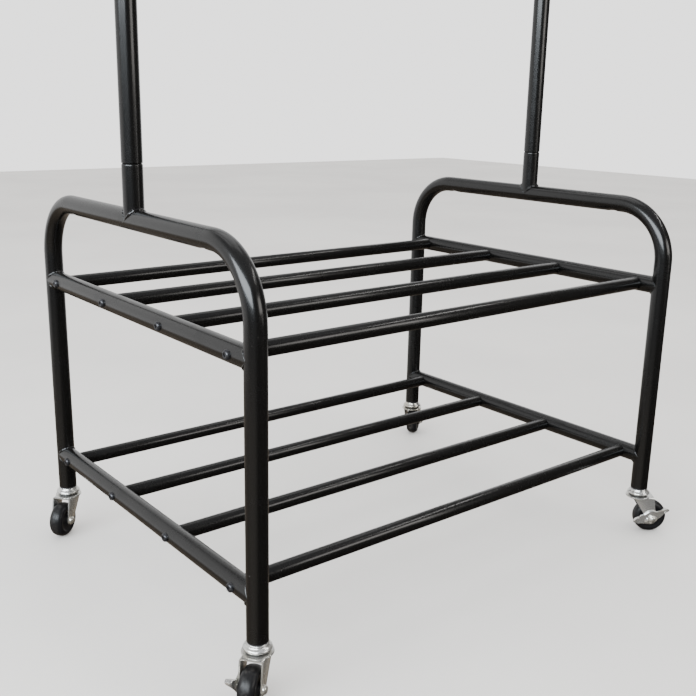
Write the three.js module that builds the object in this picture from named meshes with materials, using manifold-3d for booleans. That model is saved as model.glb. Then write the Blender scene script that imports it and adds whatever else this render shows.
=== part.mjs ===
// Rolling clothes rack: two tubular end frames, two shelves of four bars each,
// sectioned posts, a hanging rail with bent ends, and four swivel casters,
// two of them with a rocker brake. Millimetres, +Z up, floor at z = 0,
// origin under the centre of the four legs, front of the rack towards -Y.
import * as THREE from 'three';
import { mergeVertices } from 'three/addons/utils/BufferGeometryUtils.js';
import Module from 'manifold-3d';

const wasm = await Module();
wasm.setup();

// Layout
const legSpacing = 703;
const frameDepth = 520;
const lowerRailZ = 123;
const upperRailZ = 387.5;
const hoopTopZ = 500;
const stubTopZ = 566;
const postSplitZ = 1013;
const postTopZ = 1460;
const hangingRailZ = 1587.5;
const casterTopZ = 70.5;

// Tubes
const tubeRadius = 12.5;
const tubeBore = 11;
const bendRadius = 78;
const stepsPerBend = 6;
const tubeSides = 16;
const boreSides = 12;
const gap = 0.3;

// Swaged joints between post sections
const spigotRadius = 10.6;
const spigotBore = 9.2;
const spigotLength = 36;

// Shelf bars and their bolts
const barRadius = 9.5;
const barBore = 8.3;
const barEndWall = 12;
const barPitch = 150;
const barsPerShelf = 4;
const barSides = 12;
const boltRadius = 3;
const boltSides = 10;
const boltHeadRadius = 5.4;
const boltHeadHeight = 3.2;
const boltLength = 34;
const boltHoleRadius = 3.6;
const threadHoleRadius = 3.4;
const socketRadius = 2.3;
const socketDepth = 1.9;

// Casters: x runs from the swivel axis towards the axle
const axleZ = 25;
const trail = 20;
const wheelRadius = 25;
const wheelHalfWidth = 10;
const wheelSides = 24;
const runningGap = 0.4;
const axleRadius = 3;
const axleHoleRadius = 3.4;
const forkInside = 12;
const forkWall = 2;
const forkTopZ = 59;
const forkDiscRadius = 18.5;
const forkBackX = 21.2;
const forkFrontX = -9.3;
const forkToeRadius = 7;
const stemRadius = 4;
const stemLength = 38;
const neckRadius = 4.8;
const rivetRadius = 7;
const stemHoleRadius = 5.4;
const raceRadius = 13.5;
const raceGap = 0.6;
const cupRadius = 16.5;
const cupRimHeight = 3;
const nutRadius = 5.4;
const plugBore = 4.6;
const plugDepth = 34;
const leverWall = 2;
const leverHubRadius = 8;
const leverArmWidth = 9;
const pedalLength = 10;
const pedalHeight = 6;

const legX = legSpacing / 2;
const legY = frameDepth / 2;
const legBottomZ = casterTopZ + 1.3 + gap;

const blackPaint = new THREE.MeshStandardMaterial({ color: 0x16151a, roughness: 0.42, metalness: 0.3 });
const darkSteel = new THREE.MeshStandardMaterial({ color: 0x26262a, roughness: 0.35, metalness: 0.8 });
const zinc = new THREE.MeshStandardMaterial({ color: 0xc9c9c6, roughness: 0.28, metalness: 1 });
const blackPlastic = new THREE.MeshStandardMaterial({ color: 0x0d0d0f, roughness: 0.5, metalness: 0 });

const rack = new THREE.Group();

function addPiece(name, geometry, material, parent = rack) {
  const mesh = new THREE.Mesh(geometry, material);
  mesh.name = name;
  parent.add(mesh);
  return mesh;
}

// ---- shape helpers ----

// A regular polygon with a flat facing each axis.
function polygon(radius, sides) {
  const corner = (i) => (2 * Math.PI * (i + 0.5)) / sides;
  return Array.from({ length: sides }, (_, i) => new THREE.Vector2(
    radius * Math.cos(corner(i)),
    radius * Math.sin(corner(i)),
  ));
}

// A solid turned about the z axis from an outline of [radius, z] pairs, listed anticlockwise.
function turned(outline, sides) {
  const points = outline.map(([r, z]) => new THREE.Vector2(r, z));
  const geometry = new THREE.LatheGeometry(points, sides, Math.PI / sides);
  return geometry.rotateX(Math.PI / 2);
}

function closedLoop(outline) {
  return [...outline, outline[0]];
}

function rod(radius, bottom, top, sides) {
  return turned([[0, bottom], [radius, bottom], [radius, top], [0, top]], sides);
}

function toSolid(geometry) {
  const bare = geometry.clone();
  bare.deleteAttribute('normal');
  bare.deleteAttribute('uv');
  const merged = mergeVertices(bare, 1e-3);
  return new wasm.Manifold(new wasm.Mesh({
    numProp: 3,
    vertProperties: merged.attributes.position.array,
    triVerts: new Uint32Array(merged.index.array),
  }));
}

function toGeometry(solid) {
  const mesh = solid.getMesh();
  const geometry = new THREE.BufferGeometry();
  geometry.setAttribute('position', new THREE.BufferAttribute(mesh.vertProperties, 3));
  geometry.setIndex(new THREE.BufferAttribute(mesh.triVerts, 1));
  return geometry;
}

function cut(geometry, ...tools) {
  let solid = toSolid(geometry);
  for (const tool of tools) {
    solid = solid.subtract(toSolid(tool));
  }
  return toGeometry(solid);
}

function join(...geometries) {
  const [first, ...others] = geometries.map(toSolid);
  return toGeometry(others.reduce((sum, part) => sum.add(part), first));
}

// A run of straight stretches joined by equal round bends, sampled only where it curves.
class BentLine extends THREE.Curve {
  constructor(corners) {
    super();
    this.stations = [corners[0]];
    this.headings = [corners[1].clone().sub(corners[0]).normalize()];
    for (let i = 1; i < corners.length - 1; i += 1) {
      this.addBend(corners[i - 1], corners[i], corners[i + 1]);
    }
    this.stations.push(corners.at(-1));
    this.headings.push(this.headings.at(-1));
  }

  addBend(before, corner, after) {
    const inward = corner.clone().sub(before).normalize();
    const outward = after.clone().sub(corner).normalize();
    const start = corner.clone().addScaledVector(inward, -bendRadius);
    for (let step = 0; step <= stepsPerBend; step += 1) {
      const angle = (step / stepsPerBend) * (Math.PI / 2);
      const station = start.clone()
        .addScaledVector(inward, bendRadius * Math.sin(angle))
        .addScaledVector(outward, bendRadius * (1 - Math.cos(angle)));
      const heading = inward.clone().multiplyScalar(Math.cos(angle))
        .addScaledVector(outward, Math.sin(angle));
      this.stations.push(station);
      this.headings.push(heading);
    }
  }

  index(u) {
    return Math.round(u * (this.stations.length - 1));
  }

  getPointAt(u) {
    return this.stations[this.index(u)].clone();
  }

  getTangentAt(u) {
    return this.headings[this.index(u)].clone();
  }
}

function bentTube(corners) {
  const path = new BentLine(corners);
  const section = new THREE.Shape(polygon(tubeRadius, tubeSides));
  section.holes.push(new THREE.Path(polygon(tubeBore, boreSides).reverse()));
  return new THREE.ExtrudeGeometry(section, { steps: path.stations.length - 1, extrudePath: path });
}

// ---- end frames ----

// A hoop of one bent tube: up the front leg, over the top and down the back leg.
function endHoop(x) {
  return bentTube([
    new THREE.Vector3(x, -legY, legBottomZ),
    new THREE.Vector3(x, -legY, hoopTopZ),
    new THREE.Vector3(x, legY, hoopTopZ),
    new THREE.Vector3(x, legY, legBottomZ),
  ]);
}

const barY = Array.from(
  { length: barsPerShelf },
  (_, i) => (i - (barsPerShelf - 1) / 2) * barPitch,
);

// A side rail between the legs, its ends coped round them and drilled across for the bolts.
function sideRail() {
  const tube = turned(closedLoop([
    [tubeBore, -legY],
    [tubeRadius, -legY],
    [tubeRadius, legY],
    [tubeBore, legY],
  ]), tubeSides).rotateX(-Math.PI / 2);
  const legs = [-legY, legY].map((y) => (
    rod(tubeRadius + gap, -2 * tubeRadius, 2 * tubeRadius, tubeSides).translate(0, y, 0)
  ));
  const holes = barY.map((y) => (
    rod(boltHoleRadius, -2 * tubeRadius, 2 * tubeRadius, boltSides).rotateY(Math.PI / 2).translate(0, y, 0)
  ));
  return cut(tube, ...legs, ...holes);
}

// ---- posts ----

// A straight section with a reduced spigot at its top for the next section to slide over.
function postSection(bottom, top) {
  return turned(closedLoop([
    [tubeBore, bottom],
    [tubeRadius, bottom],
    [tubeRadius, top],
    [spigotRadius, top],
    [spigotRadius, top + spigotLength],
    [spigotBore, top + spigotLength],
    [spigotBore, top - 2],
    [tubeBore, top - 5],
  ]), tubeSides);
}

// The welded stub is a short section coped down onto the hoop's top.
function postStub() {
  const hoopTop = rod(tubeRadius + gap, -2 * tubeRadius, 2 * tubeRadius, tubeSides)
    .rotateX(Math.PI / 2).translate(0, 0, hoopTopZ);
  return cut(postSection(hoopTopZ, stubTopZ), hoopTop);
}

function hangingRail() {
  return bentTube([
    new THREE.Vector3(-legX, 0, postTopZ + gap),
    new THREE.Vector3(-legX, 0, hangingRailZ),
    new THREE.Vector3(legX, 0, hangingRailZ),
    new THREE.Vector3(legX, 0, postTopZ + gap),
  ]);
}

// ---- shelves ----

// A tube closed at both ends by threaded plugs and coped onto the rails.
function shelfBar() {
  const wallStart = legX - tubeRadius - barEndWall;
  const tube = turned(closedLoop([
    [threadHoleRadius, -legX],
    [barRadius, -legX],
    [barRadius, legX],
    [threadHoleRadius, legX],
    [threadHoleRadius, wallStart],
    [barBore, wallStart],
    [barBore, -wallStart],
    [threadHoleRadius, -wallStart],
  ]), barSides).rotateY(Math.PI / 2);
  const rails = [-legX, legX].map((x) => (
    rod(tubeRadius + gap, -tubeRadius, tubeRadius, tubeSides).rotateX(Math.PI / 2)
      .translate(x, 0, 0)
  ));
  return cut(tube, ...rails);
}

// Button-head bolt with its shank along +z and a hexagon socket in the head.
function shelfBolt() {
  const body = turned([
    [0, -boltHeadHeight],
    [0.5 * boltHeadRadius, -boltHeadHeight],
    [0.85 * boltHeadRadius, -0.7 * boltHeadHeight],
    [boltHeadRadius, 0],
    [boltRadius, 0],
    [boltRadius, boltLength],
    [0, boltLength],
  ], boltSides);
  const socket = rod(socketRadius, -2 * boltHeadHeight, socketDepth - boltHeadHeight, 6);
  return cut(body, socket);
}

// ---- casters ----

// Moulded plug pressed into the foot of a leg, bored for the caster's stem.
function legPlug() {
  const sleeveRadius = tubeBore - 2 * gap;
  return turned(closedLoop([
    [plugBore, casterTopZ],
    [tubeRadius, casterTopZ],
    [tubeRadius, legBottomZ - gap],
    [sleeveRadius, legBottomZ - gap],
    [sleeveRadius, legBottomZ + plugDepth],
    [plugBore, legBottomZ + plugDepth],
  ]), barSides);
}

// Stem, raceway cup and the neck that is riveted under the fork, turned as one piece.
function casterStem() {
  const rivetTop = forkTopZ - forkWall - runningGap;
  const raceZ = forkTopZ + raceGap;
  const cupZ = raceZ + 2;
  const shoulderRadius = tubeRadius + gap;
  return turned([
    [0, rivetTop - 2],
    [rivetRadius, rivetTop - 2],
    [rivetRadius, rivetTop],
    [neckRadius, rivetTop],
    [neckRadius, raceZ],
    [raceRadius, raceZ],
    [raceRadius, cupZ - 0.4],
    [cupRadius, cupZ],
    [cupRadius, cupZ + cupRimHeight],
    [shoulderRadius, cupZ + 2 * cupRimHeight],
    [shoulderRadius, casterTopZ - gap],
    [stemRadius, casterTopZ - gap],
    [stemRadius, casterTopZ + stemLength],
    [0, casterTopZ + stemLength],
  ], barSides);
}

// One cheek of the fork: its two edges close in from the deck to a rounded toe about the axle.
function cheekOutline() {
  const top = forkTopZ - forkWall / 2;
  const tangent = (x, side) => {
    const reach = Math.hypot(x - trail, top - axleZ);
    return Math.atan2(top - axleZ, x - trail) + side * Math.acos(forkToeRadius / reach);
  };
  const frontTangent = tangent(forkFrontX, 1);
  const backTangent = tangent(forkBackX, -1) + 2 * Math.PI;
  const outline = new THREE.Shape();
  outline.moveTo(forkBackX, top);
  outline.lineTo(forkFrontX, top);
  outline.absarc(trail, axleZ, forkToeRadius, frontTangent, backTangent, false);
  outline.closePath();
  return outline;
}

function casterFork() {
  const disc = rod(forkDiscRadius, forkTopZ - forkWall, forkTopZ, tubeSides);
  const halfWidth = forkInside + forkWall;
  const deck = new THREE.BoxGeometry(forkBackX - forkFrontX, 2 * halfWidth, forkWall)
    .translate((forkBackX + forkFrontX) / 2, 0, forkTopZ - forkWall / 2);
  const cheeks = [-halfWidth, forkInside].map((y) => (
    new THREE.ExtrudeGeometry(cheekOutline(), {
      depth: forkWall,
      bevelEnabled: false,
      curveSegments: 6,
    }).rotateX(Math.PI / 2).translate(0, y + forkWall, 0)
  ));
  const stemHole = rod(stemHoleRadius, 0, 2 * forkTopZ, barSides);
  const axleHole = rod(axleHoleRadius, -2 * halfWidth, 2 * halfWidth, barSides)
    .rotateX(Math.PI / 2).translate(trail, 0, axleZ);
  return cut(join(disc, deck, ...cheeks), stemHole, axleHole);
}

// Domed tread on a recessed disc; the flats of the polygon touch the floor.
function casterWheel() {
  const size = wheelRadius / Math.cos(Math.PI / wheelSides);
  const half = wheelHalfWidth;
  const side = [
    [axleHoleRadius, half + 1],
    [7.5, half + 1],
    [8, half - 1.5],
    [16.5, half - 1.5],
    [18.5, half - 0.1],
    [22.9, half - 2.4],
    [size, 3],
  ];
  const mirrored = side.map(([r, z]) => [r, -z]);
  return turned(closedLoop([...mirrored, ...side.reverse()]), wheelSides)
    .rotateX(Math.PI / 2).translate(trail, 0, axleZ);
}

// Bolt with a head on the left and a domed nut on the right of the fork.
function casterAxle(extra) {
  const seat = forkInside + forkWall + gap;
  return turned([
    [0, -seat - 4],
    [0.8 * nutRadius, -seat - 4],
    [nutRadius, -seat - 3],
    [nutRadius, -seat],
    [axleRadius, -seat],
    [axleRadius, seat + extra],
    [nutRadius, seat + extra],
    [nutRadius, seat + extra + 3],
    [0.6 * nutRadius, seat + extra + 5],
    [0, seat + extra + 5],
  ], barSides).rotateX(Math.PI / 2).translate(trail, 0, axleZ);
}

// Rocker brake outside the right cheek: a hub with a raised and a lowered pedal arm.
const leverArms = [
  { angle: 33, reach: 28 },
  { angle: 187, reach: 30 },
];

function brakeLever() {
  const hub = rod(leverHubRadius, 0, leverWall, barSides);
  const arms = leverArms.map(({ angle, reach }) => {
    const plate = new THREE.BoxGeometry(reach, leverArmWidth, leverWall)
      .translate(reach / 2, 0, leverWall / 2);
    const pedal = new THREE.BoxGeometry(pedalLength, leverWall, pedalHeight);
    const side = angle < 90 ? 1 : -1;
    const pedalY = (side * (leverArmWidth - leverWall)) / 2;
    pedal.translate(reach - pedalLength / 2, pedalY, pedalHeight / 2);
    return [plate, pedal].map((piece) => piece.rotateZ(THREE.MathUtils.degToRad(angle)));
  }).flat();
  const hole = rod(axleHoleRadius, -leverWall, 2 * leverWall, barSides);
  return cut(join(hub, ...arms), hole)
    .rotateX(Math.PI / 2)
    .translate(trail, -forkInside - forkWall - runningGap, axleZ);
}

function addCaster(corner, x, y, heading, braked) {
  const place = new THREE.Group();
  place.position.set(x, y, 0);
  place.rotation.z = heading;
  rack.add(place);
  const leverRoom = braked ? leverWall + 2 * runningGap : 0;
  addPiece(`${corner}_leg_plug`, legPlug(), blackPlastic, place);
  addPiece(`${corner}_caster_stem`, casterStem(), zinc, place);
  addPiece(`${corner}_caster_fork`, casterFork(), zinc, place);
  addPiece(`${corner}_caster_axle`, casterAxle(leverRoom), zinc, place);
  addPiece(`${corner}_caster_wheel`, casterWheel(), blackPlastic, place);
  if (braked) {
    addPiece(`${corner}_brake_lever`, brakeLever(), zinc, place);
  }
}

// ---- assembly ----

for (const [side, x] of [['left', -legX], ['right', legX]]) {
  addPiece(`${side}_end_hoop`, endHoop(x), blackPaint);
  addPiece(`${side}_lower_rail`, sideRail(), blackPaint).position.set(x, 0, lowerRailZ);
  addPiece(`${side}_upper_rail`, sideRail(), blackPaint).position.set(x, 0, upperRailZ);
  addPiece(`${side}_post_stub`, postStub(), blackPaint).position.x = x;
  addPiece(`${side}_lower_post`, postSection(stubTopZ + gap, postSplitZ), blackPaint).position.x = x;
  addPiece(`${side}_upper_post`, postSection(postSplitZ + gap, postTopZ), blackPaint).position.x = x;
}
addPiece('hanging_rail', hangingRail(), blackPaint);

for (const [shelf, z] of [['lower', lowerRailZ], ['upper', upperRailZ]]) {
  barY.forEach((y, i) => {
    addPiece(`${shelf}_shelf_bar_${i + 1}`, shelfBar(), blackPaint).position.set(0, y, z);
    for (const [side, inward] of [['left', 1], ['right', -1]]) {
      const bolt = addPiece(`${side}_${shelf}_bolt_${i + 1}`, shelfBolt(), darkSteel);
      bolt.rotation.y = (inward * Math.PI) / 2;
      bolt.position.set(-inward * (legX + tubeRadius + gap), y, z);
    }
  });
}

// The wheels point where the rack was last pushed: away from the middle of the shelf.
const lean = Math.atan2(3, 4);
addCaster('left_front', -legX, -legY, Math.PI + lean, true);
addCaster('right_front', legX, -legY, -lean, true);
addCaster('left_back', -legX, legY, Math.PI + lean, false);
addCaster('right_back', legX, legY, lean, false);

export default rack;
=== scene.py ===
import math

import bmesh
import bpy
from mathutils import Matrix, Vector


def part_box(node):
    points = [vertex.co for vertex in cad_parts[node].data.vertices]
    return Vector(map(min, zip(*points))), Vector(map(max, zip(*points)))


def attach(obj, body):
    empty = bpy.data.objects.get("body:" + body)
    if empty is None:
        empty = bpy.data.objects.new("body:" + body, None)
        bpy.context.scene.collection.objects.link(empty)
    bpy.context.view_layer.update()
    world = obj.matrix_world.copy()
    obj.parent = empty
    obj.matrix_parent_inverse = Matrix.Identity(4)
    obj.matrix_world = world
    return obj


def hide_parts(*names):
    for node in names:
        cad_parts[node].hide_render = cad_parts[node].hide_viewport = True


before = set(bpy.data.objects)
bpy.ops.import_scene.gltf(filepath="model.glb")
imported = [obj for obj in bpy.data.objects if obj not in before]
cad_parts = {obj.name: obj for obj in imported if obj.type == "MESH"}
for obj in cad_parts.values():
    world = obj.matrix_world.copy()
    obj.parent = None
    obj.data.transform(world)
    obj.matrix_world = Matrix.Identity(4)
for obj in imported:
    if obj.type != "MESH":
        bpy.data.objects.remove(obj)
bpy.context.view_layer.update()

mm = 0.001
scene = bpy.context.scene


# places read from the frame, in metres

def middle(node, axis):
    low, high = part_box(node)
    return (low[axis] + high[axis]) / 2


def top(node):
    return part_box(node)[1].z


def bottom(node):
    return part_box(node)[0].z


tubeRadius = 12.5 * mm
barRadius = 9.5 * mm
legX = middle("right_end_hoop", 0)
legY = -middle("right_front_caster_stem", 1)
sides = {"left": -legX, "right": legX}
railZ = {"lower": middle("left_lower_rail", 2), "upper": middle("left_upper_rail", 2)}
barY = [middle(f"upper_shelf_bar_{i}", 1) for i in range(1, 5)]
hoopFlat = tubeRadius * math.cos(math.pi / 16)  # the frame's tubes are sixteen-sided, flats up
hoopTopZ = top("left_end_hoop") - hoopFlat
hangingZ = top("hanging_rail") - hoopFlat
legBottomZ = bottom("left_end_hoop")
railEndZ = bottom("hanging_rail")
casterTopZ = bottom("left_front_leg_plug")
bendRadius = 78 * mm
corners = {
    "left_front": (-legX, -legY, -0.8, -0.6),  # x, y and which way its wheel points
    "right_front": (legX, -legY, 0.8, -0.6),
    "left_back": (-legX, legY, -0.8, -0.6),
    "right_back": (legX, legY, 0.8, 0.6),
}


# node trees: one wrapper for a socket, one method for any node

class Wire:
    def __init__(self, graph, socket):
        self.graph = graph
        self.socket = socket

    def maths(self, operation, first, second):
        return self.graph.node("ShaderNodeMath", {"operation": operation}, {0: first, 1: second})[0]

    def __add__(self, other):
        return self.maths("ADD", self, other)

    __radd__ = __add__

    def __sub__(self, other):
        return self.maths("SUBTRACT", self, other)

    def __rsub__(self, other):
        return self.maths("SUBTRACT", other, self)

    def __mul__(self, other):
        return self.maths("MULTIPLY", self, other)

    __rmul__ = __mul__

    def __truediv__(self, other):
        return self.maths("DIVIDE", self, other)


class Outputs:
    def __init__(self, graph, made):
        self.graph = graph
        self.made = made

    def __getitem__(self, key):
        return Wire(self.graph, self.made.outputs[key])


class Graph:
    def __init__(self, tree):
        self.tree = tree

    def node(self, kind, settings=None, inputs=None):
        made = self.tree.nodes.new(kind)
        for key, value in (settings or {}).items():
            if key == "stops":
                self.setStops(made.color_ramp, value)
            else:
                setattr(made, key, value)
        for key, value in (inputs or {}).items():
            socket = made.inputs[key]
            if isinstance(value, Wire):
                self.tree.links.new(value.socket, socket)
            elif socket.type == "RGBA":
                socket.default_value = (*value, 1)
            else:
                socket.default_value = value
        return Outputs(self, made)

    def setStops(self, ramp, stops):
        while len(ramp.elements) < len(stops):
            ramp.elements.new(0.5)
        for element, (position, colour) in zip(ramp.elements, stops):
            element.position = position
            element.color = (*colour, 1)


# finishes

class Finish(Graph):
    def __init__(self, name):
        self.material = bpy.data.materials.new(name)
        self.material.use_nodes = True
        super().__init__(self.material.node_tree)
        self.tree.nodes.clear()
        self.place = self.node("ShaderNodeTexCoord")["Object"]

    def noise(self, scale, detail=2.0, roughness=0.5, vector=None):
        values = {"Vector": vector or self.place, "Scale": scale, "Detail": detail,
                  "Roughness": roughness}
        return self.node("ShaderNodeTexNoise", None, values)["Fac"]

    def range(self, value, low, high):
        values = {"Value": value, "From Min": low, "From Max": high}
        smooth = {"interpolation_type": "SMOOTHSTEP"}
        return self.node("ShaderNodeMapRange", smooth, values)["Result"]

    def blend(self, share, first, second):
        return self.node("ShaderNodeMix", {"data_type": "RGBA"}, {0: share, 6: first, 7: second})[2]

    def bump(self, height, distance, strength=1.0):
        values = {"Height": height, "Distance": distance, "Strength": strength}
        return self.node("ShaderNodeBump", None, values)["Normal"]

    def facingUp(self):
        normal = self.node("ShaderNodeNewGeometry")["Normal"]
        return self.node("ShaderNodeSeparateXYZ", None, {"Vector": normal})["Z"]

    def surface(self, **values):
        names = {"colour": "Base Color", "metallic": "Metallic", "roughness": "Roughness",
                 "normal": "Normal", "coat": "Coat Weight", "coatRoughness": "Coat Roughness",
                 "specular": "Specular IOR Level"}
        inputs = {names[key]: value for key, value in values.items()}
        shader = self.node("ShaderNodeBsdfPrincipled", None, inputs)["BSDF"]
        self.node("ShaderNodeOutputMaterial", None, {"Surface": shader})
        return self.material


# a texture is (scale, detail, roughness) and a spread is the span of its values that counts
coatLook = {
    "black": (0.0019, 0.0018, 0.0017),
    "dust": (0.09, 0.087, 0.08),
    "speck": (0.30, 0.29, 0.27),
    "cloud": (9.0, 3.0),
    "cloudRoughening": 0.04,
    "smudge": (26.0, 5.0, 0.62),
    "smudgeSpread": (0.50, 0.72),
    "smudgeRoughening": 0.05,
    "smudgeDulling": 0.10,
    "upward": (0.35, 0.98),
    "dustGrain": (150.0, 6.0, 0.7),
    "dustSpread": (0.45, 0.85),
    "dustShare": 0.035,
    "specks": (260.0, 1.0),
    "speckSpread": (0.82, 0.85),
    "speckShare": 0.15,
    "speckShareOnTop": 0.35,
    "peel": (420.0, 2.0, 0.4),
    "peelHeight": 0.009 * mm,
    "peelStrength": 0.5,
    "roughness": 0.24,
    "specular": 0.40,
    "coat": 0.45,
    "coatRoughness": 0.12,
}


def makeCoat(name, look, roughen=0.0):
    finish = Finish(name)
    cloud = finish.noise(*look["cloud"])
    smudge = finish.range(finish.noise(*look["smudge"]), *look["smudgeSpread"])
    peel = finish.noise(*look["peel"])
    settled = finish.range(finish.facingUp(), *look["upward"])
    dust = finish.range(finish.noise(*look["dustGrain"]), *look["dustSpread"])
    dust = settled * dust * look["dustShare"]
    speck = finish.range(finish.noise(*look["specks"]), *look["speckSpread"])
    speck = speck * (look["speckShare"] + look["speckShareOnTop"] * settled)
    colour = finish.blend(dust, look["black"], look["dust"])
    colour = finish.blend(speck, colour, look["speck"])
    worn = look["cloudRoughening"] * cloud + look["smudgeRoughening"] * smudge
    return finish.surface(
        colour=colour,
        roughness=look["roughness"] + roughen + worn + dust,
        specular=look["specular"],
        coat=look["coat"] - look["smudgeDulling"] * smudge,
        coatRoughness=look["coatRoughness"],
        normal=finish.bump(peel, look["peelHeight"], look["peelStrength"]),
    )


zincLook = {
    "bright": (0.86, 0.86, 0.84),
    "warm": (0.70, 0.64, 0.50),
    "dull": (0.52, 0.53, 0.54),
    "cloud": (38.0, 4.0, 0.6),
    "cloudRoughening": 0.12,
    "warmPatch": (24.0, 2.0),
    "warmSpread": (0.35, 0.75),
    "warmShare": 0.6,
    "dullPatch": (210.0, 5.0, 0.7),
    "dullSpread": (0.56, 0.78),
    "dullShare": 0.22,
    "dullRoughening": 0.16,
    "grain": (1400.0, 2.0),
    "grainHeight": 0.02 * mm,
    "grainStrength": 0.5,
    "metallic": 0.93,
    "roughness": 0.19,
}


def makeZinc(name, look):
    finish = Finish(name)
    cloud = finish.noise(*look["cloud"])
    grain = finish.noise(*look["grain"])
    warm = finish.range(finish.noise(*look["warmPatch"]), *look["warmSpread"])
    dull = finish.range(finish.noise(*look["dullPatch"]), *look["dullSpread"])
    dull = dull * look["dullShare"]
    colour = finish.blend(warm * look["warmShare"], look["bright"], look["warm"])
    colour = finish.blend(dull, colour, look["dull"])
    worn = look["cloudRoughening"] * cloud + look["dullRoughening"] * dull
    return finish.surface(
        colour=colour,
        metallic=look["metallic"],
        roughness=look["roughness"] + worn,
        normal=finish.bump(grain, look["grainHeight"], look["grainStrength"]),
    )


steelLook = {
    "oxide": (0.06, 0.06, 0.065),
    "rubbed": (0.26, 0.26, 0.27),
    "rubbing": (420.0, 2.0),
    "rubbedSpread": (0.55, 0.78),
    "rubbedShare": 0.45,
    "grain": (900.0, 3.0),
    "metallic": 0.85,
    "roughness": 0.24,
    "grainRoughening": 0.16,
}


def makeBoltSteel(name, look):
    finish = Finish(name)
    grain = finish.noise(*look["grain"])
    rubbed = finish.range(finish.noise(*look["rubbing"]), *look["rubbedSpread"])
    return finish.surface(
        colour=finish.blend(rubbed * look["rubbedShare"], look["oxide"], look["rubbed"]),
        metallic=look["metallic"],
        roughness=look["roughness"] + look["grainRoughening"] * grain,
        normal=finish.bump(grain, 0.02 * mm, 0.6),
    )


greaseLook = {"dark": (0.004, 0.004, 0.004), "brown": (0.012, 0.009, 0.006)}


def makeGrease(name, look):
    finish = Finish(name)
    streak = finish.noise(300.0, 4.0, 0.6)
    return finish.surface(
        colour=finish.blend(finish.range(streak, 0.4, 0.7), look["dark"], look["brown"]),
        roughness=0.22 + 0.3 * streak,
        normal=finish.bump(streak, 0.15 * mm, 0.8),
    )


wheelLook = {
    "black": (0.0045, 0.0045, 0.005),
    "scuffed": (0.022, 0.021, 0.020),
    "dust": (0.12, 0.105, 0.09),
    "treadFrom": (0.36, 0.44),
    "treadTo": (0.56, 0.64),
    "wear": (240.0, 6.0, 0.7),
    "wearSpread": (0.40, 0.72),
    "wearShare": 0.85,
    "dustPatch": (95.0, 5.0, 0.65),
    "dustSpread": (0.56, 0.74),
    "dustShare": 0.22,
    "cloud": (60.0, 3.0),
    "grain": (1100.0, 2.0),
    "grainHeight": 0.06 * mm,
    "specular": 0.36,
    "roughness": 0.30,
    "wearRoughening": 0.16,
    "cloudRoughening": 0.10,
}


# u runs round a wheel and v across its outline, both from 0 to 1
def makeWheelPlastic(name, look):
    finish = Finish(name)
    uv = finish.node("ShaderNodeUVMap", {"uv_map": "turning"})["UV"]
    across = finish.node("ShaderNodeSeparateXYZ", None, {"Vector": uv})["Y"]
    past = finish.range(across, *look["treadTo"])
    tread = finish.range(across, *look["treadFrom"]) * (1 - past)
    worn = finish.noise(*look["wear"])
    scuff = tread * finish.range(worn, *look["wearSpread"]) * look["wearShare"]
    dust = finish.range(finish.noise(*look["dustPatch"]), *look["dustSpread"])
    dust = tread * dust * look["dustShare"]
    colour = finish.blend(scuff, look["black"], look["scuffed"])
    colour = finish.blend(dust, colour, look["dust"])
    grain = finish.noise(*look["grain"])
    cloud = finish.noise(*look["cloud"])
    roughening = look["wearRoughening"] * scuff + look["cloudRoughening"] * cloud
    return finish.surface(
        colour=colour,
        specular=look["specular"],
        roughness=look["roughness"] + roughening,
        normal=finish.bump(grain * 0.5 + worn * tread, look["grainHeight"], 0.5),
    )


plasticLook = {"black": (0.014, 0.014, 0.015), "grey": (0.028, 0.028, 0.03), "roughness": 0.46}


def makePlugPlastic(name, look):
    finish = Finish(name)
    grain = finish.noise(850.0, 3.0)
    return finish.surface(
        colour=finish.blend(finish.range(grain, 0.35, 0.75), look["black"], look["grey"]),
        roughness=look["roughness"] + 0.12 * grain,
        normal=finish.bump(grain, 0.05 * mm, 0.8),
    )


floorLook = {"pale": (0.66, 0.645, 0.62), "shade": (0.60, 0.585, 0.565)}


def makeFloorFinish(name, look):
    finish = Finish(name)
    cloud = finish.noise(1.3, 4.0, 0.55)
    return finish.surface(
        colour=finish.blend(finish.range(cloud, 0.3, 0.7), look["pale"], look["shade"]),
        roughness=0.48 + 0.1 * cloud,
    )


coatFinish = makeCoat("blackPowderCoat", coatLook)
weldFinish = makeCoat("coatedWeld", coatLook, roughen=-0.12)
zincFinish = makeZinc("brightZinc", zincLook)
boltFinish = makeBoltSteel("blackOxideSteel", steelLook)
greaseFinish = makeGrease("greasedRace", greaseLook)
wheelFinish = makeWheelPlastic("wheelPlastic", wheelLook)
plugFinish = makePlugPlastic("plugPlastic", plasticLook)
print("finishes made")


# mesh helpers

def newObject(name, mesh):
    made = bpy.data.objects.new(name, mesh)
    scene.collection.objects.link(made)
    return made


def shade(mesh, angle=35.0):
    mesh.polygons.foreach_set("use_smooth", [True] * len(mesh.polygons))
    mesh.set_sharp_from_angle(angle=math.radians(angle))


def facingOut(mesh):
    work = bmesh.new()
    work.from_mesh(mesh)
    bmesh.ops.remove_doubles(work, verts=work.verts, dist=0.001 * mm)
    bmesh.ops.recalc_face_normals(work, faces=work.faces)
    work.to_mesh(mesh)
    work.free()


def place(piece, body, finish, slot, *replaced):
    piece.data.materials.clear()
    piece.data.materials.append(finish)
    shade(piece.data)
    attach(piece, body)
    if replaced:
        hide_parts(*replaced)


# swaps an object's mesh for its shape with every modifier worked in
def workIn(piece):
    bpy.context.view_layer.update()
    evaluated = piece.evaluated_get(bpy.context.evaluated_depsgraph_get())
    plain = bpy.data.meshes.new_from_object(evaluated)
    piece.modifiers.clear()
    piece.data = plain
    return piece


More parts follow.
